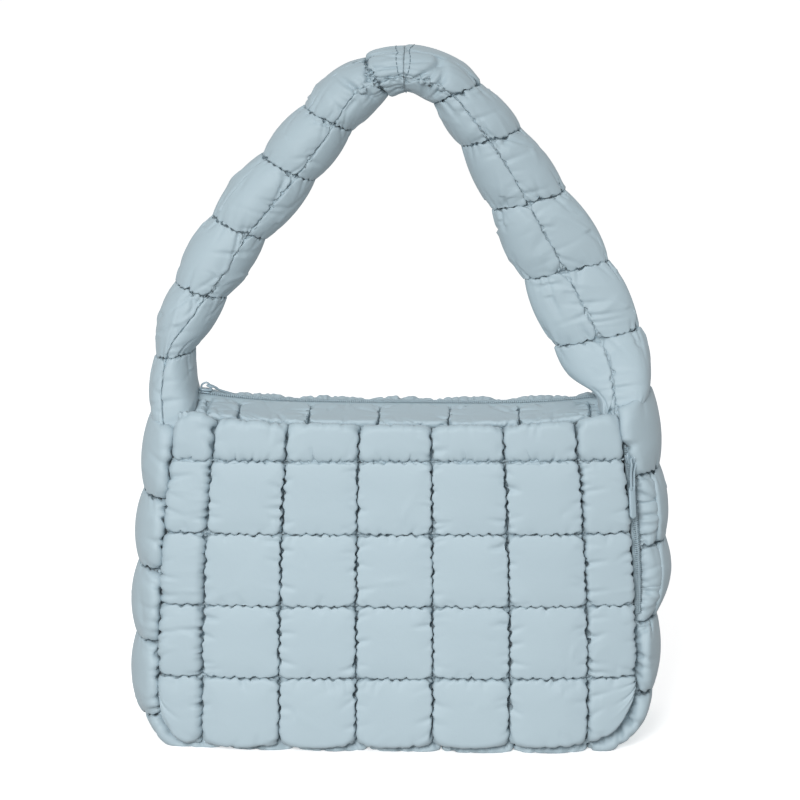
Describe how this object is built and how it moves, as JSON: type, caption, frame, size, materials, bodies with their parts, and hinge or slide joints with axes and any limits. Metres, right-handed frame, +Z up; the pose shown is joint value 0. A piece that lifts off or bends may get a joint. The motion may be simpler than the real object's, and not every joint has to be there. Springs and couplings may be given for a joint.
{
  "type": "puffer bag",
  "caption": "Quilted padded shoulder bag with a boxy zipped body, a side zip pocket and a padded tube strap arched over the top.",
  "frame": {"origin": "on the floor under the middle of the bag, at the bottom centre of its box", "axes": "+Z up, towards the crown of the strap; -Y is the front with the pocket zip at its right side; +X is the right as seen from the front"},
  "size_m": [0.4157, 0.146, 0.5283],
  "materials": {
    "shell": "pale blue woven nylon, soft matt, quilted over padding",
    "zip_tape": "pale blue woven polyester tape with a nylon coil",
    "slider": "pale blue lacquered zinc, satin",
    "pull": "pale blue cord and moulded soft vinyl, satin"
  },
  "bodies": {
    "root": {"front_panel": "shell", "back_panel": "shell", "gusset": "shell", "top_panel_front": "shell", "top_panel_back": "shell", "strap_left": "shell", "strap_right": "shell", "main_zip": "zip_tape", "pocket_zip": "zip_tape", "main_zip_slider": "slider", "pocket_zip_slider": "slider", "main_zip_pull": "pull", "pocket_zip_pull": "pull"}
  },
  "joints": []
}
